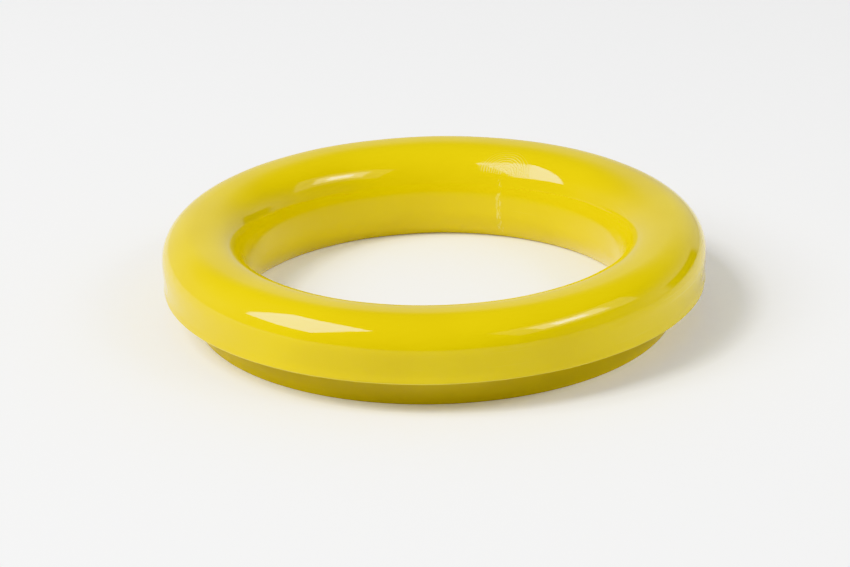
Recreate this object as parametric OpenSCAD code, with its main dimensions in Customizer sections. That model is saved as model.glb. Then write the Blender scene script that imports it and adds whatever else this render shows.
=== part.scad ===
// Life ring buoy: a hard two-part shell over a closed-cell core, with a screwed vent in the band.
// The ring lies on z = 0 round the Z axis. The vent faces +Y, at the back.

/* [Ring] */
// Outside diameter over the roll
ring_d = 720; // [690:1:760]
// Height from the ground to the crest of the roll
ring_h = 125; // [122:1:135]
// Diameter of the circle that the crest follows
crest_d = 628; // [618:1:636]
// Narrowest diameter of the eye
eye_d = 496; // [480:1:510]
// Thickness of both mouldings
wall = 3; // [2.5:0.1:3.2]

/* [Roll] */
// Height of the roll's outer half, from its widest point to the crest
roll_out_h = 42; // [38:1:48]
// Height of the roll's inner half, from the narrowest point of the eye to the crest
roll_in_h = 80; // [74:1:84]
// Fullness of the roll's outer half: 2 is an ellipse, more is squarer
roll_out_power = 2.1; // [2:0.05:2.6]
// Fullness of the roll's inner half
roll_in_power = 2.75; // [2.4:0.05:3]

/* [Skirt] */
// Height of the skirt's free edge above the ground
skirt_z = 45; // [42:1:50]
// How far the skirt is waisted in above its lip
skirt_waist = 1.2; // [0.4:0.1:1.6]

/* [Foot] */
// Outside diameter of the inset band
band_d = 636; // [626:1:644]
// Radius of the rounded edge at the foot of the inner wall
foot_r = 8; // [6:0.5:10]
// Diameter at which that rounded edge reaches the ground
foot_d = 546; // [540:1:552]
// Width of the lip that the inner wall turns under the ring
lip_w = 16; // [12:1:18]

/* [Laps and core] */
// Height of the lap inside the skirt
lap_h = 20; // [12:1:22]
// Thickness of the adhesive in both laps
bond = 0.6; // [0.4:0.1:0.8]
// Gap between the core and the mouldings
core_gap = 0.5; // [0.3:0.1:0.8]
// Gap between two core segments
core_joint = 1; // [0.6:0.1:2]

/* [Vent] */
// Height of the vent's axis above the ground
vent_z = 24; // [23:0.5:26]
// Diameter of the bush's shank
bush_d = 20; // [18:0.5:21]
// Diameter of the plug's shank
plug_d = 12; // [10:0.5:13]
// Diameter of the plug's head
plug_head_d = 26; // [22:1:28]

/* [Hidden] */
$fn = 144;

YELLOW = [0.90, 0.81, 0.02];
FOAM = [0.93, 0.90, 0.80];
SEALANT = [0.20, 0.20, 0.21];
NYLON = [0.16, 0.16, 0.17];

ring_r = ring_d / 2;
crest_r = crest_d / 2;
eye_r = eye_d / 2;
band_r = band_d / 2;
foot_c = foot_d / 2;

// Heights of the roll's widest point outside and narrowest point inside
out_z = ring_h - roll_out_h;
in_z = ring_h - roll_in_h;

arch_steps = 14;
wall_steps = 8;
foot_steps = 6;

// Skirt: the waist sits above the lip, and the inside is a plain cylinder for the lap
waist_z = skirt_z + 11;
lip_r = ring_r - 0.4;
skirt_in_r = ring_r - wall - 1;
skirt_in_top = out_z - 7;

// Lower moulding: flange under the roll, upstand inside the skirt, step over the lip
flange_z = skirt_z + 5;
flange_top = flange_z + wall;
lap_r = skirt_in_r - bond;
lap_top = flange_top + lap_h;
lip_end = foot_c + lip_w;
step_r = lip_end + 2 * bond;
step_in = foot_c + 4;
step_z = wall + bond;
band_edge = 2;

// Vent, along +Y: the boss's flat faces, then outwards gasket, bush flange, washer and head
boss_d = 40;
boss_in = band_r - 7;
boss_out = band_r + 1.5;
bush_hole = bush_d + 0.4;
gasket_t = 1.5;
bush_flange_d = 34;
bush_flange_t = 3;
bush_l = 25;
bush_face = boss_out + gasket_t + bush_flange_t;
nut_across = 30;
nut_t = 7;
nut_clear = 0.1;
plug_run = 0.1;
plug_l = 25;
washer_d = 22;
washer_t = 1.9;
face_gap = 0.1;
head_t = 4;
grip = [22, 5, 5];
pocket_d = 44;
pocket_l = 26;

// Quarter of a superellipse of power p round (r, z), from angle a to angle b
function arch(r, z, half_w, h, p, a, b) = [
    for (i = [0 : arch_steps])
        let (t = a + (b - a) * i / arch_steps, c = cos(t), s = sin(t))
            [r + half_w * sign(c) * pow(abs(c), 2 / p), z + h * pow(abs(s), 2 / p)]
];

// The roll's two halves, set in by t from the outside face
function roll_out(t) = arch(crest_r, out_z, ring_r - crest_r - t, roll_out_h - t, roll_out_power, 0, 90);
function roll_in(t) = arch(crest_r, in_z, crest_r - eye_r - t, roll_in_h - t, roll_in_power, 90, 180);

// Inner wall below the roll: upright at the narrowest point, leaning out as it goes down
function inner_wall(t) = [
    for (i = [1 : wall_steps])
        let (s = i / wall_steps)
            [eye_r + t + (foot_c - foot_r - eye_r) * pow(s, 1.5), in_z - (in_z - foot_r) * s]
];

// Rounded edge at the wall's foot, from upright to flat on the ground
function foot_arc(t) = [
    for (i = [1 : foot_steps])
        let (a = 90 * i / foot_steps)
            [foot_c - (foot_r - t) * cos(a), foot_r - (foot_r - t) * sin(a)]
];

function backwards(list) = [for (i = [len(list) - 1 : -1 : 0]) list[i]];

module revolve(outline) {
    rotate_extrude() polygon(outline);
}

module on_vent(y) {
    translate([0, y, vent_z]) rotate([-90, 0, 0]) children();
}

module upper_shell() {
    skirt_outside = [[skirt_in_r, skirt_z + 0.6], [skirt_in_r + 0.6, skirt_z], [lip_r - 0.4, skirt_z],
                     [lip_r, skirt_z + 0.6], [ring_r - skirt_waist, waist_z]];
    outside = concat(skirt_outside, roll_out(0), roll_in(0), inner_wall(0), foot_arc(0));
    lip = [[lip_end, 0], [lip_end, wall]];
    inside = concat(roll_out(wall), roll_in(wall), inner_wall(wall), foot_arc(wall));
    color(YELLOW) revolve(concat(outside, lip, backwards(inside), [[skirt_in_r, skirt_in_top]]));
}

module lower_shell() {
    outside = [[step_r, 0], [band_r - band_edge, 0], [band_r, band_edge], [band_r, flange_z],
               [lap_r, flange_z], [lap_r, lap_top]];
    inside = [[lap_r - wall, lap_top], [lap_r - wall, flange_top], [band_r - wall, flange_top],
              [band_r - wall, wall], [step_r + wall, wall], [step_r + wall, step_z + wall],
              [step_in, step_z + wall], [step_in, step_z], [step_r, step_z]];
    color(YELLOW) difference() {
        union() {
            revolve(concat(outside, inside));
            on_vent(boss_in) cylinder(d = boss_d, h = boss_out - boss_in);
        }
        on_vent(boss_in - 1) cylinder(d = bush_hole, h = boss_out - boss_in + 2);
    }
}

// Film in the lap, with a fillet where the flange meets the skirt
module skirt_seal() {
    color(SEALANT) revolve([
        [lap_r - 5, flange_z], [skirt_in_r, flange_z - 3.6], [skirt_in_r, lap_top], [lap_r, lap_top],
        [lap_r, flange_z]
    ]);
}

// Film between the lip and the step, turned down into the seam
module inner_seal() {
    color(SEALANT) revolve([
        [step_in, wall], [lip_end, wall], [lip_end, bond], [step_r, bond], [step_r, step_z],
        [step_in, step_z]
    ]);
}

// Section of the core: all the room between the two mouldings
module core_section() {
    t = wall + core_gap;
    roof = concat(roll_out(t), roll_in(t), inner_wall(t));
    floor_z = step_z + t;
    low = [for (p = roof) if (p[1] > floor_z) p];
    polygon(concat(
        [[skirt_in_r - core_gap, lap_top + core_gap], [skirt_in_r - core_gap, skirt_in_top]],
        low,
        [[foot_c - foot_r + t + core_gap, floor_z], [step_r + t, floor_z], [step_r + t, t],
         [band_r - t, t], [band_r - t, flange_top + core_gap], [lap_r - t, flange_top + core_gap],
         [lap_r - t, lap_top + core_gap]]
    ));
}

// One quarter of the core, centred on the given compass angle
module core_quarter(angle) {
    joint_angle = core_joint / ring_r * 180 / PI;
    color(FOAM) rotate([0, 0, angle - 45 + joint_angle / 2])
        rotate_extrude(angle = 90 - joint_angle) core_section();
}

module foam_front() {
    core_quarter(270);
}

module foam_right() {
    core_quarter(0);
}

// The back quarter has a pocket round the vent's inner end
module foam_back() {
    color(FOAM) difference() {
        core_quarter(90);
        on_vent(band_r - pocket_l) cylinder(d = pocket_d, h = pocket_l);
    }
}

module foam_left() {
    core_quarter(180);
}

module washer(outer_d, hole_d, t) {
    difference() {
        cylinder(d = outer_d, h = t);
        translate([0, 0, -1]) cylinder(d = hole_d, h = t + 2);
    }
}

module vent_gasket() {
    color(SEALANT) on_vent(boss_out) washer(bush_flange_d, bush_hole, gasket_t);
}

// Flange outside, shank through the boss, open right through
module vent_bush() {
    color(NYLON) on_vent(bush_face - bush_flange_t - bush_l) difference() {
        union() {
            cylinder(d = bush_d, h = bush_l + bush_flange_t);
            translate([0, 0, bush_l]) cylinder(d = bush_flange_d, h = bush_flange_t);
        }
        translate([0, 0, -1]) cylinder(d = plug_d + plug_run, h = bush_l + bush_flange_t + 2);
    }
}

module vent_locknut() {
    color(NYLON) on_vent(boss_in - nut_t) difference() {
        cylinder(d = nut_across / cos(30), h = nut_t, $fn = 6);
        translate([0, 0, -1]) cylinder(d = bush_d + nut_clear, h = nut_t + 2);
    }
}

// Soft washer that stays on the plug
module vent_plug_seal() {
    color(SEALANT) on_vent(bush_face + face_gap) washer(washer_d, plug_d + 2 * plug_run, washer_t);
}

// Shank, round head and a bar to turn it by
module vent_plug() {
    head_y = bush_face + washer_t + 2 * face_gap;
    color(NYLON) on_vent(head_y - plug_l) {
        cylinder(d = plug_d, h = plug_l + 1);
        translate([0, 0, plug_l]) cylinder(d = plug_head_d, h = head_t);
        translate([-grip[0] / 2, -grip[1] / 2, plug_l + head_t - 1])
            cube([grip[0], grip[1], grip[2] + 1]);
    }
}

upper_shell();
lower_shell();
skirt_seal();
inner_seal();
foam_front();
foam_right();
foam_back();
foam_left();
vent_bush();
vent_gasket();
vent_locknut();
vent_plug();
vent_plug_seal();
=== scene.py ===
# %% [markdown]
# # A hard-shell life ring
# The ring is two glossy yellow mouldings glued over a foam core: a crown with a rolled top and a
# skirt, and a narrower band that the ring stands on. A small screwed vent sits in the band's back.
# The engineering model comes in first. It fixes every place and size, so all that is made
# here is drawn round it and nothing has to be fitted afterwards.

# %% Load the engineering model
import math

import bpy
from mathutils import Euler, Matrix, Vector


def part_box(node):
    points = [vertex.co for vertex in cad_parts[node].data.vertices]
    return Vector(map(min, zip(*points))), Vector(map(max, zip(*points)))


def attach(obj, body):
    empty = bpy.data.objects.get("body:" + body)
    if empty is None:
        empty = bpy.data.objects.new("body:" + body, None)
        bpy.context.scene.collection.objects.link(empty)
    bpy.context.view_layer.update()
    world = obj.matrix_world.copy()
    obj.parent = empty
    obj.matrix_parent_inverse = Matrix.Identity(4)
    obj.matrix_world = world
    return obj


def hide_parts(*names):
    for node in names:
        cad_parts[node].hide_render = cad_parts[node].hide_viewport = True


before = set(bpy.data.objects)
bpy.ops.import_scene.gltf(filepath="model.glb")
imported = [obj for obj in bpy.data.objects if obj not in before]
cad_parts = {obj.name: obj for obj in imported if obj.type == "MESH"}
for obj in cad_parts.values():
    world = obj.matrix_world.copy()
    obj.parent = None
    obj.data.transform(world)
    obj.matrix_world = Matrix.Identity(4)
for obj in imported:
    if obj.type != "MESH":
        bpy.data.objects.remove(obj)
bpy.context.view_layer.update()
print("nodes:", sorted(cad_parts))

# %% [markdown]
# ## Driving sizes
# Everything is in metres. Overall sizes are read from the model's own boxes, and only what a box
# can't tell, such as where the crest of the roll runs, is given as a number.

# %% Sizes of the ring
crown_high = Vector(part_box("upper_shell")[1])
band_high = Vector(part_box("lower_shell")[1])
RING_R = round(crown_high.x, 3)
RING_H = crown_high.z
CREST_R = 0.314
EYE_R = 0.248
ROLL_OUT_H = 0.042
OUT_Z = RING_H - ROLL_OUT_H
OUT_POWER = 2.1
ROLL_IN_H = 0.080
IN_Z = RING_H - ROLL_IN_H
IN_POWER = 2.75
WALL = 0.003
SKIRT_Z = 0.045
WAIST_Z = SKIRT_Z + 0.011
LIP_R = RING_R - 0.0004
WAIST_R = RING_R - 0.0012
SKIRT_IN_R = RING_R - 0.004
FOOT_C = 0.273
FOOT_R = 0.008
WALL_MEETS_FOOT = math.radians(42)
LIP_W = 0.016
LIP_END = FOOT_C + LIP_W
BAND_R = 0.318
FLANGE_Z = SKIRT_Z + 0.005
LAP_R = band_high.x
LAP_TOP = band_high.z
SEAM = 0.0006
print(f"ring {2 * RING_R:.3f} m across, {RING_H:.3f} m high, eye {2 * EYE_R:.3f} m")

# %% Place of the vent
bush_low, bush_high = (Vector(corner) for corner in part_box("vent_bush"))
plug_low, plug_high = (Vector(corner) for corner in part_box("vent_plug"))
washer_low, washer_high = (Vector(corner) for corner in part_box("vent_plug_seal"))
VENT_Z = (bush_low.z + bush_high.z) / 2
BOSS_OUT = BAND_R + 0.0015
BOSS_IN = BAND_R - 0.007
print(f"vent axis {VENT_Z * 1000:.1f} mm above the ground")

# %% [markdown]
# ## Tools for turning a shape
# Both mouldings and most of the vent are bodies of revolution, as if turned on a lathe. The way to
# model one by hand is to draw half its section as a chain of points and spin that round the axis.
# An operator acts on whatever is selected, so each helper starts by clearing the selection.

# %% Selecting and finishing helpers
def clear_selection():
    """Go back to object mode with nothing selected."""
    if bpy.context.object and bpy.context.object.mode != "OBJECT":
        bpy.ops.object.mode_set(mode="OBJECT")
    bpy.ops.object.select_all(action="DESELECT")


def select_only(piece):
    """Go back to object mode with one piece selected and active."""
    clear_selection()
    piece.select_set(True)
    bpy.context.view_layer.objects.active = piece


def settle(piece, smooth_angle=35):
    """Put the piece's place into its mesh and shade it smooth up to an edge angle."""
    select_only(piece)
    bpy.ops.object.transform_apply(location=True, rotation=True, scale=True)
    bpy.ops.object.shade_smooth_by_angle(angle=math.radians(smooth_angle))
    print(f"{piece.name}: {len(piece.data.polygons)} faces")
    return piece


def apply_modifier(piece, kind, **settings):
    """Add a modifier, set it and apply it."""
    select_only(piece)
    modifier = piece.modifiers.new(kind.title(), kind)
    for key, value in settings.items():
        setattr(modifier, key, value)
    bpy.ops.object.modifier_apply(modifier=modifier.name)


# %% Spinning a section
def turn(name, section, centre=(0, 0, 0), axis=(0, 0, 1), steps=288):
    """Draw a closed section by extruding a point along it, then spin it round the axis."""
    clear_selection()
    bpy.ops.mesh.primitive_plane_add(size=0.001)
    piece = bpy.context.object
    piece.name = piece.data.name = name
    bpy.ops.object.mode_set(mode="EDIT")
    bpy.ops.mesh.select_all(action="SELECT")
    bpy.ops.mesh.merge(type="CENTER")
    bpy.ops.transform.translate(value=section[0])
    for here, there in zip(section, section[1:]):
        step = [b - a for a, b in zip(here, there)]
        bpy.ops.mesh.extrude_region_move(TRANSFORM_OT_translate={"value": step})
    bpy.ops.object.mode_set(mode="OBJECT")
    piece.data.vertices[0].select = True
    bpy.ops.object.mode_set(mode="EDIT")
    bpy.ops.mesh.edge_face_add()
    bpy.ops.mesh.select_all(action="SELECT")
    bpy.ops.mesh.spin(steps=steps, angle=2 * math.pi, center=centre, axis=axis)
    bpy.ops.mesh.select_all(action="SELECT")
    bpy.ops.mesh.remove_doubles(threshold=0.000005)
    bpy.ops.mesh.normals_make_consistent(inside=False)
    bpy.ops.object.mode_set(mode="OBJECT")
    return piece


def on_ring(points):
    """Points (radius, height) as places in the ring's own section plane."""
    return [(r, 0, z) for r, z in points]


def on_vent(points):
    """Points (radius, y) as places round the vent's axis."""
    return [(r, y, VENT_Z) for r, y in points]


# %% [markdown]
# ## The crown's section
# The roll is fuller than an ellipse, so a superellipse draws it. Inside the eye the wall leaves the
# roll upright and leans out as it goes down, which lets the moulding leave its tool, and a rounded
# foot brings it to the ground. The inside of the wall follows the same curves, one thickness in.

# %% Curves of the crown
def quarter(centre_r, centre_z, half_width, height, power, start, end, count):
    """Points along a quarter of a superellipse, between two angles in degrees."""
    points = []
    for i in range(count + 1):
        angle = math.radians(start + (end - start) * i / count)
        across, up = math.cos(angle), math.sin(angle)
        r = centre_r + half_width * math.copysign(abs(across) ** (2 / power), across)
        points.append((r, centre_z + height * abs(up) ** (2 / power)))
    return points


def roll(inset, count):
    """The whole roll, from the widest point outside to the narrowest inside."""
    out_width = RING_R - CREST_R - inset
    in_width = CREST_R - EYE_R - inset
    outer = quarter(CREST_R, OUT_Z, out_width, RING_H - OUT_Z - inset, OUT_POWER, 0, 90, count)
    inner = quarter(CREST_R, IN_Z, in_width, RING_H - IN_Z - inset, IN_POWER, 90, 180, count)
    return outer + inner[1:]


def eye_wall(inset, count):
    """The inner wall below the roll, and the rounded foot."""
    end_r = FOOT_C - FOOT_R * math.cos(WALL_MEETS_FOOT)
    end_z = FOOT_R - FOOT_R * math.sin(WALL_MEETS_FOOT)
    points = []
    for i in range(1, count + 1):
        down = i / count
        points.append((EYE_R + inset + (end_r - EYE_R) * down ** 2, IN_Z - (IN_Z - end_z) * down))
    for i in range(1, 9):
        angle = WALL_MEETS_FOOT + (math.pi / 2 - WALL_MEETS_FOOT) * i / 8
        radius = FOOT_R - inset
        points.append((FOOT_C - radius * math.cos(angle), FOOT_R - radius * math.sin(angle)))
    return points


# %% [markdown]
# ## The upper moulding
# The skirt's free edge was left a little proud when the moulding was trimmed: it is waisted in
# above the lip and the lip itself is rounded, which is what catches a thin line of light.

# %% Upper moulding
LIP_ROUND = 0.0016


def lip_arc(count):
    """The rounded free edge of the skirt, from its inside to its outside."""
    middle = (SKIRT_IN_R + LIP_R) / 2
    half = (LIP_R - SKIRT_IN_R) / 2
    points = []
    for i in range(count + 1):
        angle = math.radians(180 * i / count)
        points.append((middle - half * math.cos(angle), SKIRT_Z + LIP_ROUND - LIP_ROUND * math.sin(angle)))
    return points


def skirt_outside(count):
    """From the lip, in to the waist and out again to the roll's widest point."""
    points = []
    for i in range(1, count):
        up = i / count
        z = SKIRT_Z + LIP_ROUND + (OUT_Z - SKIRT_Z - LIP_ROUND) * up
        if z < WAIST_Z:
            part = (z - SKIRT_Z - LIP_ROUND) / (WAIST_Z - SKIRT_Z - LIP_ROUND)
            r = LIP_R + (WAIST_R - LIP_R) * (1 - math.cos(math.pi * part)) / 2
        else:
            part = (z - WAIST_Z) / (OUT_Z - WAIST_Z)
            r = WAIST_R + (RING_R - WAIST_R) * (1 - math.cos(math.pi * part)) / 2
        points.append((r, z))
    return points


crown_outside = lip_arc(8) + skirt_outside(14) + roll(0, 36) + eye_wall(0, 10)
crown_inside = roll(WALL, 8) + eye_wall(WALL, 6)
crown_section = crown_outside + [(LIP_END, 0), (LIP_END, WALL)] + crown_inside[::-1]
crown_section += [(SKIRT_IN_R, OUT_Z - 0.007)]
crown = turn("crown_moulding", on_ring(crown_section))

# %% [markdown]
# A hand-finished moulding is never quite true. Slow waves of a fraction of a millimetre are put
# into the mesh itself, because they bend the reflections in every light, which paint can't do.

# %% Slow waves in the crown
waves = bpy.data.textures.new("slow_waves", "CLOUDS")
waves.noise_scale = 0.11
waves.noise_depth = 1
WAVE_HEIGHT = 0.0009
apply_modifier(crown, "DISPLACE", texture=waves, strength=WAVE_HEIGHT, mid_level=0.5,
               texture_coords="LOCAL")
settle(crown)
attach(crown, "ring")
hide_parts("upper_shell")

# %% [markdown]
# ## The lower moulding
# The band, the underside and the flange that hides under the roll are one moulding, again turned.
# Where two flat faces meet, the section gets a small arc, since no moulded corner is sharp.

# %% Rounding the corners of a section
def rounded(points, radius, count=4):
    """Replace each corner of a closed section by a short arc that meets both sides."""
    result = []
    total = len(points)
    for i, corner in enumerate(points):
        here = Vector(corner)
        before = Vector(points[i - 1]) - here
        after = Vector(points[(i + 1) % total]) - here
        reach = min(radius, before.length * 0.45, after.length * 0.45)
        start = here + before.normalized() * reach
        end = here + after.normalized() * reach
        for k in range(count + 1):
            t = k / count
            result.append(tuple(start * (1 - t) ** 2 + here * 2 * t * (1 - t) + end * t ** 2))
    return result


# %% Lower moulding
step_r = LIP_END + 2 * SEAM
step_top = WALL + SEAM + WALL
flange_top = FLANGE_Z + WALL
band_section = [
    (step_r, 0), (BAND_R, 0), (BAND_R, FLANGE_Z), (LAP_R, FLANGE_Z), (LAP_R, LAP_TOP),
    (LAP_R - WALL, LAP_TOP), (LAP_R - WALL, flange_top), (BAND_R - WALL, flange_top),
    (BAND_R - WALL, WALL), (step_r + WALL, WALL), (step_r + WALL, step_top),
    (FOOT_C + 0.004, step_top), (FOOT_C + 0.004, WALL + SEAM), (step_r, WALL + SEAM),
]
band = turn("band_moulding", on_ring(rounded(band_section, 0.0018)))


def cylinder_on_vent(name, radius, start, end, sides=96):
    """A plain cylinder along the vent's axis, to add to a piece or cut from it."""
    clear_selection()
    bpy.ops.mesh.primitive_cylinder_add(
        vertices=sides, radius=radius, depth=end - start,
        location=(0, (start + end) / 2, VENT_Z), rotation=(math.radians(90), 0, 0))
    tool = bpy.context.object
    tool.name = name
    bpy.ops.object.transform_apply(location=True, rotation=True, scale=True)
    return tool


def combine(piece, tool, operation):
    """Join a tool to a piece, or cut it away, and throw the tool away."""
    apply_modifier(piece, "BOOLEAN", object=tool, operation=operation, solver="EXACT")
    bpy.data.objects.remove(tool, do_unlink=True)


# %% [markdown]
# The band's wall is curved, and a flat flange would leak on it. So the moulding has a flat boss
# there. A cylinder with a bevelled face is joined to the wall, and a second one drills it.

# %% Boss for the vent
BOSS_R = 0.020
DRILL_R = 0.0102
boss = cylinder_on_vent("boss", BOSS_R, BOSS_IN, BOSS_OUT)
select_only(boss)
bpy.ops.object.mode_set(mode="EDIT")
bpy.ops.mesh.select_all(action="DESELECT")
bpy.ops.object.mode_set(mode="OBJECT")
for edge in boss.data.edges:
    edge.select = all(boss.data.vertices[v].co.y > BOSS_OUT - 0.0001 for v in edge.vertices)
bpy.ops.object.mode_set(mode="EDIT")
bpy.ops.mesh.bevel(offset=0.0008, segments=3, affect="EDGES")
bpy.ops.object.mode_set(mode="OBJECT")
combine(band, boss, "UNION")
combine(band, cylinder_on_vent("drill", DRILL_R, BOSS_IN - 0.002, BOSS_OUT + 0.002), "DIFFERENCE")
settle(band)
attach(band, "ring")
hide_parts("lower_shell")

# %% [markdown]
# ## Glue lines
# Both laps are closed with a flexible adhesive. Seen from below it is a soft fillet in the corner
# under the skirt and a narrow line in the seam of the underside. Each is turned like the rest.

# %% Skirt seal and inner seal
skirt_bead_section = [
    (LAP_R - 0.005, FLANGE_Z), (LAP_R - 0.0025, FLANGE_Z - 0.0012), (LAP_R - 0.0008, FLANGE_Z - 0.0026),
    (SKIRT_IN_R, FLANGE_Z - 0.0036), (SKIRT_IN_R, LAP_TOP), (LAP_R, LAP_TOP), (LAP_R, FLANGE_Z),
]
skirt_bead = settle(turn("skirt_bead", on_ring(skirt_bead_section)))
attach(skirt_bead, "ring")
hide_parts("skirt_seal")

seam_section = [
    (FOOT_C + 0.004, WALL), (LIP_END, WALL), (LIP_END, SEAM), (LIP_END + SEAM, SEAM + 0.0003),
    (step_r, SEAM), (step_r, WALL + SEAM), (FOOT_C + 0.004, WALL + SEAM),
]
seam_bead = settle(turn("seam_bead", on_ring(seam_section)))
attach(seam_bead, "ring")
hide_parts("inner_seal")

# %% [markdown]
# ## The vent
# A sealed shell full of warm air must breathe, so a bush is clamped through the boss and a screw
# plug closes it. The bush and washer are turned. The plug is turned too, then gets its thread, a
# fluted rim and a bar for the fingers, which have to be made in other ways.

# %% Vent bush
BUSH_BORE = 0.00605
BUSH_R = 0.010
FLANGE_R = bush_high.x
bush_section = [
    (BUSH_BORE, bush_low.y), (BUSH_R, bush_low.y), (BUSH_R, bush_high.y - WALL),
    (FLANGE_R, bush_high.y - WALL), (FLANGE_R, bush_high.y), (BUSH_BORE, bush_high.y),
]
bush = turn("vent_bush_turned", on_vent(rounded(bush_section, 0.0007)), (0, 0, VENT_Z), (0, 1, 0), 96)
NOTCHES = 6
NOTCH_R = 0.0022
for i in range(NOTCHES):
    angle = 2 * math.pi * (i + 0.5) / NOTCHES
    clear_selection()
    bpy.ops.mesh.primitive_cylinder_add(vertices=24, radius=NOTCH_R, depth=0.004,
                                        rotation=(math.radians(90), 0, 0),
                                        location=(FLANGE_R * math.cos(angle), bush_high.y,
                                                  VENT_Z + FLANGE_R * math.sin(angle)))
    combine(bush, bpy.context.object, "DIFFERENCE")
settle(bush)
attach(bush, "ring")
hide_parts("vent_bush")

# %% Washer on the plug
WASHER_BORE = 0.0061
washer_section = [
    (WASHER_BORE, washer_low.y), (washer_high.x, washer_low.y), (washer_high.x, washer_high.y),
    (WASHER_BORE, washer_high.y),
]
washer = settle(turn("plug_washer_moulded", on_vent(rounded(washer_section, 0.0008)),
                     (0, 0, VENT_Z), (0, 1, 0), 72))
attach(washer, "plug_washer")
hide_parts("vent_plug_seal")

# %% [markdown]
# The plug's thread is one small tooth swept along a helix. The Screw modifier does that: it
# turns a small trapezium round an axis while it slides it along by one pitch a turn. It is
# right-handed, so the plug comes out when it is turned counter-clockwise, as seen from outside.

# %% Plug
HEAD_T = 0.004
THREAD_PITCH = 0.002
THREAD_DEPTH = 0.0007
SHANK_R = 0.006
head_y = washer_high.y + 0.0001
head_r = plug_high.x
plug_section = [
    (0, plug_low.y), (SHANK_R - THREAD_DEPTH, plug_low.y), (SHANK_R - THREAD_DEPTH, head_y - 0.002),
    (SHANK_R - 0.0002, head_y - 0.0012), (SHANK_R - 0.0002, head_y), (head_r, head_y),
    (head_r, head_y + HEAD_T), (0, head_y + HEAD_T),
]
POINTS_A_CORNER = 5
off_axis = rounded(plug_section, 0.0006)[POINTS_A_CORNER:-POINTS_A_CORNER]
plug_outline = on_vent(plug_section[:1] + off_axis + plug_section[-1:])
plug = turn("vent_plug_turned", plug_outline, (0, 0, VENT_Z), (0, 1, 0), 96)
FLUTES = 24
FLUTE_R = 0.0011
flutes_r = head_r + 0.0005
for i in range(FLUTES):
    angle = 2 * math.pi * i / FLUTES
    clear_selection()
    bpy.ops.mesh.primitive_cylinder_add(vertices=16, radius=FLUTE_R, depth=HEAD_T * 1.6,
                                        rotation=(math.radians(90), 0, 0),
                                        location=(flutes_r * math.cos(angle), head_y + HEAD_T / 2,
                                                  VENT_Z + flutes_r * math.sin(angle)))
    combine(plug, bpy.context.object, "DIFFERENCE")

clear_selection()
bpy.ops.mesh.primitive_cube_add(size=1, location=(0, head_y + HEAD_T + 0.0015, VENT_Z))
bar = bpy.context.object
bar.scale = (0.022, plug_high.y - head_y - HEAD_T + 0.003, 0.005)
bpy.ops.object.transform_apply(location=True, rotation=True, scale=True)
bar_top = max(v.co.y for v in bar.data.vertices)
bpy.ops.object.mode_set(mode="EDIT")
bpy.ops.mesh.select_all(action="SELECT")
bpy.ops.transform.translate(value=(0, plug_high.y - bar_top, 0))
bpy.ops.mesh.bevel(offset=0.0014, segments=4, affect="EDGES")
bpy.ops.object.mode_set(mode="OBJECT")
combine(plug, bar, "UNION")
settle(plug)
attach(plug, "plug")
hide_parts("vent_plug")

# %% Thread of the plug
clear_selection()
bpy.ops.mesh.primitive_plane_add(size=0.001)
thread = bpy.context.object
thread.name = thread.data.name = "plug_thread"
bpy.ops.object.mode_set(mode="EDIT")
bpy.ops.mesh.select_all(action="SELECT")
bpy.ops.mesh.merge(type="CENTER")
root_r = SHANK_R - THREAD_DEPTH - 0.0002
bpy.ops.transform.translate(value=(root_r, plug_low.y + 0.0005, 0))
for step in ((SHANK_R - root_r - 0.00005, THREAD_PITCH * 0.4, 0), (0, THREAD_PITCH * 0.12, 0),
             (root_r - SHANK_R + 0.00005, THREAD_PITCH * 0.4, 0)):
    bpy.ops.mesh.extrude_region_move(TRANSFORM_OT_translate={"value": step})
bpy.ops.object.mode_set(mode="OBJECT")
thread.data.vertices[0].select = True
bpy.ops.object.mode_set(mode="EDIT")
bpy.ops.mesh.edge_face_add()
bpy.ops.object.mode_set(mode="OBJECT")
THREAD_TURNS = 11
apply_modifier(thread, "SCREW", axis="Y", screw_offset=THREAD_PITCH, iterations=THREAD_TURNS,
               steps=36, render_steps=36, use_merge_vertices=False)
select_only(thread)
bpy.ops.object.mode_set(mode="EDIT")
bpy.ops.mesh.select_all(action="SELECT")
bpy.ops.transform.translate(value=(0, 0, VENT_Z))
bpy.ops.mesh.select_all(action="DESELECT")
bpy.ops.mesh.select_non_manifold()
bpy.ops.mesh.edge_face_add()
bpy.ops.mesh.select_all(action="SELECT")
bpy.ops.mesh.normals_make_consistent(inside=False)
bpy.ops.object.mode_set(mode="OBJECT")
settle(thread)
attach(thread, "plug")

# %% [markdown]
# ## Shader arithmetic
# A pattern is easier to read as an expression than as a chain of nodes. A Signal wraps one socket
# and turns +, - and * into Math nodes. Every other node comes from Finish.add.

# %% Signal and Finish
class Signal:
    """One output socket that can be used in arithmetic."""

    def __init__(self, finish, socket):
        self.finish = finish
        self.socket = socket

    def math(self, operation, *values):
        """A Math node that works on these values, in this order."""
        return self.finish.add("ShaderNodeMath", {"operation": operation}, dict(enumerate(values)))

    def __add__(self, other):
        return self.math("ADD", self, other)

    def __radd__(self, other):
        return self.math("ADD", other, self)

    def __sub__(self, other):
        return self.math("SUBTRACT", self, other)

    def __rsub__(self, other):
        return self.math("SUBTRACT", other, self)

    def __mul__(self, other):
        return self.math("MULTIPLY", self, other)

    def sine(self):
        return self.math("SINE", self)

    def absolute(self):
        return self.math("ABSOLUTE", self)

    def between(self, low, high):
        """0 below low, 1 above high and a smooth rise between, or the reverse."""
        return self.finish.add("ShaderNodeMapRange", {"interpolation_type": "SMOOTHSTEP"},
                               {"Value": self, "From Min": low, "From Max": high})


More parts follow.
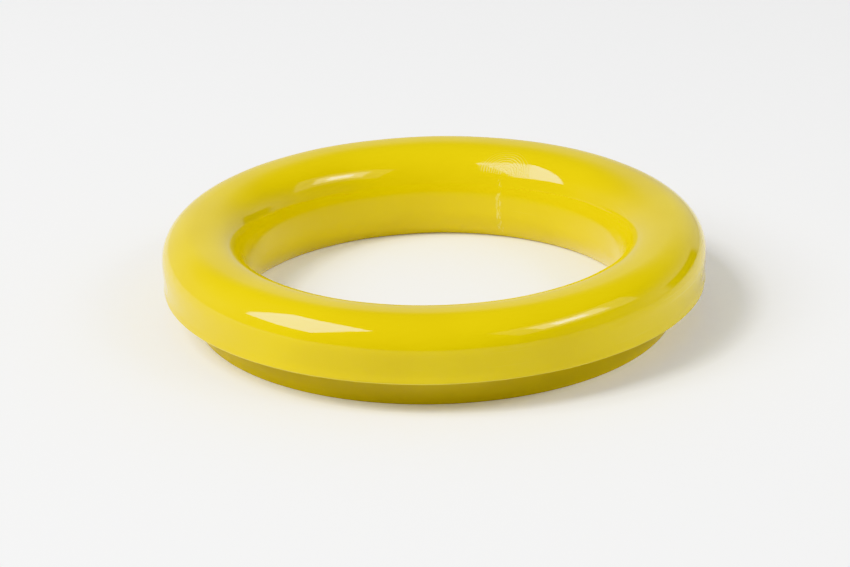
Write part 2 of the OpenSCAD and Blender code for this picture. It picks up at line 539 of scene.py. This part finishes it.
class Finish:
    """A material, or the world's light, built node by node."""

    def __init__(self, owner):
        owner.use_nodes = True
        self.owner = owner
        self.tree = owner.node_tree
        self.tree.nodes.clear()

    def add(self, kind, settings=None, inputs=None, output=0):
        """Add a node, link or set its inputs, and hand back one of its outputs."""
        node = self.tree.nodes.new(kind)
        for key, value in (settings or {}).items():
            setattr(node, key, value)
        for key, value in (inputs or {}).items():
            if isinstance(value, Signal):
                self.tree.links.new(value.socket, node.inputs[key])
            else:
                node.inputs[key].default_value = value
        return Signal(self, node.outputs[output]) if len(node.outputs) else None

    def place(self):
        """Object coordinates, which stay with the piece."""
        return self.add("ShaderNodeTexCoord", output="Object")

    def split(self, vector):
        return [self.add("ShaderNodeSeparateXYZ", None, {"Vector": vector}, i) for i in range(3)]

    def join(self, x, y, z):
        return self.add("ShaderNodeCombineXYZ", None, {"X": x, "Y": y, "Z": z})

    def noise(self, vector, scale, detail=3.0, rough=0.5):
        return self.add("ShaderNodeTexNoise", None,
                        {"Vector": vector, "Scale": scale, "Detail": detail, "Roughness": rough})

    def blend(self, amount, first, second):
        """A mix of two colours."""
        return self.add("ShaderNodeMix", {"data_type": "RGBA"},
                        {"Factor": amount, 6: first, 7: second}, 2)

    def bump(self, height, depth):
        return self.add("ShaderNodeBump", None, {"Height": height, "Distance": depth})

    def surface(self, **inputs):
        """Close the material with one Principled shader. Socket names have _ for a space."""
        named = {key.replace("_", " "): value for key, value in inputs.items()}
        shader = self.add("ShaderNodeBsdfPrincipled", None, named)
        self.add("ShaderNodeOutputMaterial", None, {"Surface": shader})
        return self.owner


def new_finish(name):
    return Finish(bpy.data.materials.new(name))


def coat(piece, material):
    """Give a piece one material."""
    piece.data.materials.clear()
    piece.data.materials.append(material)


# %% [markdown]
# ## Yellow gloss
# The mouldings have a hard, glossy skin in one strong yellow; on the band it is painted darker,
# as painted shade for the shade under the skirt. At arm's length it is even; closer up it has slow
# drifts of tone, a faint orange peel, wiping marks that run round the ring, and a paler line along
# the skirt's lip. All of it is worked out from the place on the ring: the angle round the axis, the
# radius and the height.

# %% Place on the ring
def ring_place(finish):
    """Distance round the ring, radius and height, each as a Signal."""
    x, y, z = finish.split(finish.place())
    angle = x.math("ARCTAN2", y, x)
    radius = x.math("SQRT", x * x + y * y)
    return angle * RING_R, radius, z


# %% [markdown]
# One spot at the back was filled and polished by hand. The sanding left rings round it that show
# most inside a highlight, so they are a bump of about a tenth of a millimetre and a rougher skin; a
# hint of paler tone in the rings is painted reflection, standing in for their ripples in the
# highlight. Below it the drips of filler were wiped down the wall and left broken, paler streaks.

# %% The repaired spot
SPOT = (0.1012, 0.2362, 0.0985)
RING_STEP = 0.0036
STREAK_BEARING = math.radians(68.5)


def repair(finish):
    """Height of the sanding rings, and where the pale streaks lie."""
    place = finish.place()
    around, radius, height = ring_place(finish)
    waver = finish.noise(place, 60.0, 2.0) * 0.004
    away = finish.add("ShaderNodeVectorMath", {"operation": "DISTANCE"}, {0: place, 1: SPOT}, "Value")
    rings = ((away + waver) * (2 * math.pi / RING_STEP)).sine().between(-0.2, 0.9)
    rings = rings * away.between(0.044, 0.030) * away.between(0.002, 0.006)
    rings = rings * height.between(SPOT[2] - 0.004, SPOT[2] + 0.003)
    drift = finish.noise(finish.join(height, 0.3, 0.1), 55.0, 2.0) * 0.008 - 0.004
    off_line = (around - STREAK_BEARING * RING_R + drift).absolute()
    broken = finish.noise(finish.join(around * 2.5, radius, height), 130.0, 4.0, 0.75)
    streak = off_line.between(0.0085, 0.002) * broken.between(0.50, 0.60) * height.between(0.095, 0.086)
    inside = radius.between(0.262, 0.258)
    return rings, streak * inside


# %% Colours of the yellow skin
YELLOW = (0.68, 0.53, 0.0, 1)
YELLOW_DEEP = (0.64, 0.49, 0.0, 1)
# The band's two yellows are darker than the crown's: painted shade for the shade under the skirt.
BAND_YELLOW_SHADED = (0.63, 0.48, 0.0, 1)
BAND_DEEP_SHADED = (0.58, 0.435, 0.0, 1)
YELLOW_PALE = (0.74, 0.64, 0.10, 1)
YELLOW_SCUFFED = (0.80, 0.72, 0.25, 1)
SKIN_RELIEF = 0.00001


def yellow_skin(name, plain, deep, gloss, scratches):
    """The skin of a moulding: two tones, its roughness, and how many marks it carries."""
    finish = new_finish(name)
    place = finish.place()
    around, radius, height = ring_place(finish)
    drift = finish.noise(place, 5.0, 2.0)
    smudge = finish.noise(place, 16.0, 4.0, 0.6).between(0.52, 0.72)
    streaks = finish.noise(finish.join(around * 2.0, radius * 260.0, height * 260.0), 1.0, 4.0, 0.65)
    marks = streaks.between(0.63, 0.72) * finish.noise(place, 9.0, 2.0).between(0.45, 0.65)
    patches = finish.noise(place, 30.0).between(0.5, 0.62)
    specks = finish.noise(place, 700.0, 2.0).between(0.70, 0.76) * patches
    peel = finish.noise(place, 230.0, 2.0)
    rings, scuff = repair(finish)
    # The skirt's rounded lip is paler and rougher.
    edge = height.between(SKIRT_Z + 0.0024, SKIRT_Z + 0.0008) * radius.between(BAND_R + 0.01, BAND_R + 0.02)
    tone = finish.blend(drift.between(0.35, 0.65), deep, plain)
    tone = finish.blend(edge * 0.5 + marks * scratches, tone, YELLOW_PALE)
    # The paler tone on the rings is painted reflection of their ripples; the scuffs and specks are real
    # marks.
    tone = finish.blend(scuff * 0.5 + specks * 0.25 + rings * 0.15, tone, YELLOW_SCUFFED)
    unpolished = radius.between(0.262, 0.255) * height.between(0.092, 0.06)
    rough = gloss + smudge * 0.03 + marks * (0.25 * scratches) + edge * 0.1
    rough = rough + unpolished * 0.11 + scuff * 0.2 + rings * 0.4
    relief = peel * 0.35 + streaks * (0.5 * scratches) + rings * 14 + specks * 0.2
    return finish.surface(Base_Color=tone, Roughness=rough, IOR=1.55,
                          Normal=finish.bump(relief, SKIN_RELIEF))


shell_skin = yellow_skin("shell_yellow_gloss", YELLOW, YELLOW_DEEP, 0.07, 0.25)
# The band's skin is painted darker than the crown's, as painted shade under the skirt's overhang.
band_skin_painted_shade = yellow_skin("band_yellow_satin_painted_shade", BAND_YELLOW_SHADED, BAND_DEEP_SHADED, 0.14, 0.8)
coat(crown, shell_skin)
coat(band, band_skin_painted_shade)
print("yellow skins on the crown and the band")

# %% [markdown]
# ## The other finishes
# The glue is a dull flexible grey, the vent is a fine-grained dark nylon with soft black washers,
# and the core is a cream foam of closed cells, which a Voronoi pattern imitates.

# %% Glue, nylon, rubber and foam
def dull_skin(name, base, worn, grain, roughness, depth):
    """A matte skin with a fine grain and a slow change of tone."""
    finish = new_finish(name)
    place = finish.place()
    fine = finish.noise(place, grain, 3.0, 0.6)
    slow = finish.noise(place, 45.0, 3.0)
    tone = finish.blend(slow.between(0.4, 0.7), base, worn)
    return finish.surface(Base_Color=tone, Roughness=roughness + fine * 0.15, IOR=1.5,
                          Normal=finish.bump(fine, depth))


def foam_skin():
    """Cream foam, with a small dimple for every closed cell."""
    finish = new_finish("core_foam_cells")
    place = finish.place()
    cells = finish.add("ShaderNodeTexVoronoi", None, {"Vector": place, "Scale": 420.0})
    slow = finish.noise(place, 12.0, 3.0)
    tone = finish.blend(slow.between(0.35, 0.7), (0.86, 0.80, 0.62, 1), (0.78, 0.70, 0.50, 1))
    return finish.surface(Base_Color=tone, Roughness=0.85 - cells * 0.1, IOR=1.45,
                          Normal=finish.bump(cells, 0.0003))


glue = dull_skin("lap_adhesive_grey", (0.055, 0.055, 0.06, 1), (0.09, 0.09, 0.085, 1),
                 grain=900.0, roughness=0.55, depth=0.00004)
nylon = dull_skin("vent_nylon_black", (0.034, 0.034, 0.037, 1), (0.055, 0.053, 0.050, 1),
                  grain=1500.0, roughness=0.30, depth=0.00003)
rubber = dull_skin("vent_rubber_black", (0.018, 0.018, 0.018, 1), (0.030, 0.030, 0.028, 1),
                   grain=1100.0, roughness=0.7, depth=0.00004)
foam = foam_skin()
for piece in (skirt_bead, seam_bead):
    coat(piece, glue)
for piece in (bush, plug, thread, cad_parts["vent_locknut"]):
    coat(piece, nylon)
for piece in (washer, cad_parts["vent_gasket"]):
    coat(piece, rubber)
for side in ("front", "right", "back", "left"):
    coat(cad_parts["foam_" + side], foam)
print("materials:", sorted(material.name for material in bpy.data.materials if material.users))

# %% [markdown]
# ## Studio
# The ring lies on a plain pale floor. A large soft box hangs high on the left. On the right hang
# three strips, one inside the other, which make one light that fades at its edges. The world is a
# room that is brighter behind and on the right, with a dark doorway between the two, so that the
# gloss turns pale at the ends of the ring and stays deep yellow in the middle.

# %% Floor
clear_selection()
bpy.ops.mesh.primitive_plane_add(size=60)
floor = bpy.context.object
floor.name = "floor"
floor_finish = new_finish("floor_paper")
paper = floor_finish.noise(floor_finish.place(), 60.0, 3.0)
coat(floor, floor_finish.surface(
    Base_Color=floor_finish.blend(paper, (0.86, 0.86, 0.86, 1), (0.89, 0.89, 0.89, 1)),
    Roughness=0.9, Emission_Color=(1, 1, 1, 1), Emission_Strength=0.1))
print("floor: paper sheet with a faint glow of its own")

# %% World
world = bpy.data.worlds.new("studio_room")
bpy.context.scene.world = world
room = Finish(world)
direction = room.add("ShaderNodeTexCoord", output="Generated")
side, ahead, up = room.split(direction)
rear_wall = ahead.between(-0.35, 0.35) * up.between(0.72, 0.3)
right_wall = side.between(0.55, 0.9) * up.between(0.6, 0.2)
bearing = side.math("ARCTAN2", side, ahead)
doorway = bearing.between(0.62, 0.72) * bearing.between(1.24, 1.12) * up.between(0.26, 0.2)
light = (0.24 + rear_wall * 0.5 + right_wall * 0.35) * (1 - doorway * 0.85)
background = room.add("ShaderNodeBackground", None, {"Color": (1, 1, 1, 1), "Strength": light})
room.add("ShaderNodeOutputWorld", None, {"Surface": background})
print(f"world: {len(world.node_tree.nodes)} nodes")

# %% Lights
LIGHT_DISTANCE = 6.0


def soft_box(name, bearing, elevation, wide, high, radiance):
    """A rectangular light, all angles in degrees as seen from the ring.

    The bearing is counted from straight behind the ring towards its right.
    """
    turned, raised = math.radians(bearing), math.radians(elevation)
    level = math.cos(raised)
    toward = Vector((math.sin(turned) * level, math.cos(turned) * level, math.sin(raised)))
    data = bpy.data.lights.new(name, "AREA")
    data.shape = "RECTANGLE"
    data.size = 2 * LIGHT_DISTANCE * math.tan(math.radians(wide / 2))
    data.size_y = 2 * LIGHT_DISTANCE * math.tan(math.radians(high / 2))
    data.energy = radiance * math.pi * data.size * data.size_y
    lamp = bpy.data.objects.new(name, data)
    bpy.context.scene.collection.objects.link(lamp)
    lamp.location = toward * LIGHT_DISTANCE
    lamp.rotation_euler = toward.to_track_quat("Z", "Y").to_euler()
    print(f"{name}: {data.size:.2f} x {data.size_y:.2f} m, {data.energy:.0f} W")


soft_box("left_box", -109.5, 46, 33, 37, 8.6)
for high, radiance in ((6, 13.0), (13, 4.0), (24, 1.1)):
    soft_box("right_strip", 115, 41, high * 2.3, high, radiance)

# %% [markdown]
# ## Camera
# A long lens, fourteen ring radii away, looks down at 22 degrees with a slight roll.

# %% Camera
TILT = math.radians(22.26)
CAMERA_ROLL = math.radians(-1.4)
DISTANCE = 14 * RING_R
AIM_RIGHT = 0.038 * RING_R
AIM_DOWN = 0.088 * RING_R
camera_data = bpy.data.cameras.new("camera")
camera_data.lens = 160.0
camera_data.sensor_width = 36.0
camera_data.clip_end = 100.0
camera = bpy.data.objects.new("camera", camera_data)
bpy.context.scene.collection.objects.link(camera)
looking = Euler((math.pi / 2 - TILT, 0, 0)).to_matrix() @ Euler((0, 0, CAMERA_ROLL)).to_matrix()
camera.rotation_euler = looking.to_euler()
camera.location = looking @ Vector((-AIM_RIGHT, AIM_DOWN, DISTANCE))
bpy.context.scene.camera = camera
bpy.context.scene.view_settings.view_transform = "Khronos PBR Neutral"
print(f"camera: {DISTANCE:.2f} m away, {camera_data.lens:.0f} mm lens")
